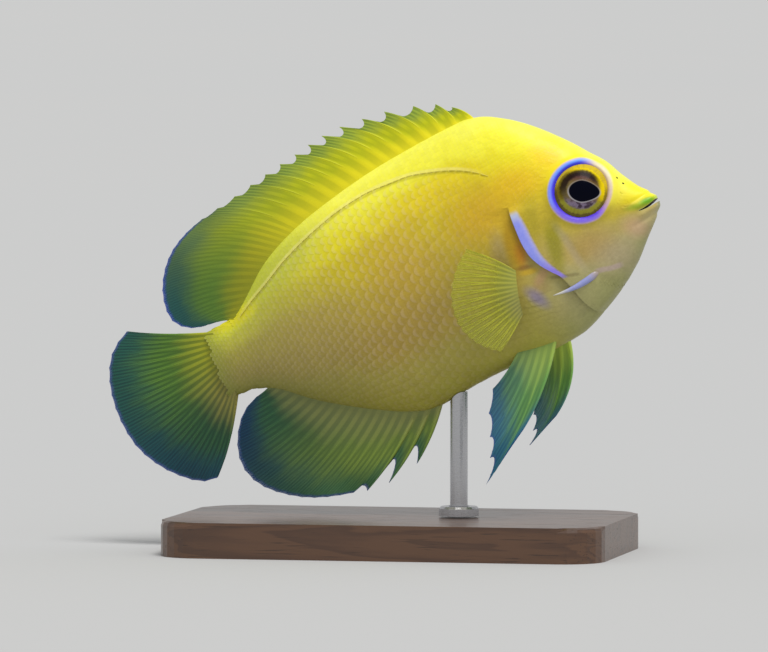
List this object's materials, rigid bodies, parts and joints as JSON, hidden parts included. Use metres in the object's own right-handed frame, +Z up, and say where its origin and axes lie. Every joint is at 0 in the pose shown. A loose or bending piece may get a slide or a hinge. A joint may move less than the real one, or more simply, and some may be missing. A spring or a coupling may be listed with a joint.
{
  "type": "lemonpeel angelfish",
  "caption": "Life-size still model of a deep-bodied reef angelfish, swimming nose up, held by a short rod over a flat display base.",
  "frame": {"origin": "centre of the display base's underside", "axes": "+Z up from the base, +X the way the fish's nose points in plan, +Y towards its left flank"},
  "size_m": [0.0962, 0.044, 0.0758],
  "materials": {
    "skin": "satin lemon-yellow scaled skin shading to olive-tan on the belly, with blue marks on the gill cover",
    "eye": "glossy dark gold iris with a blue-black pupil",
    "median_fin": "olive-green rays on a darker teal-edged membrane",
    "paired_fin": "pale yellow-green translucent membrane with fine rays",
    "stand_wood": "satin dark walnut",
    "stand_metal": "brushed"
  },
  "bodies": {
    "root": {"head": "skin", "trunk": "skin", "tail_stalk": "skin", "eye_right": "eye", "eye_left": "eye", "dorsal_fin": "median_fin", "anal_fin": "median_fin", "tail_fin": "median_fin", "pectoral_fin_right": "paired_fin", "pectoral_fin_left": "paired_fin", "pelvic_fin_right": "paired_fin", "pelvic_fin_left": "paired_fin", "stand_base": "stand_wood", "stand_rod": "stand_metal", "stand_collar": "stand_metal"}
  },
  "joints": []
}
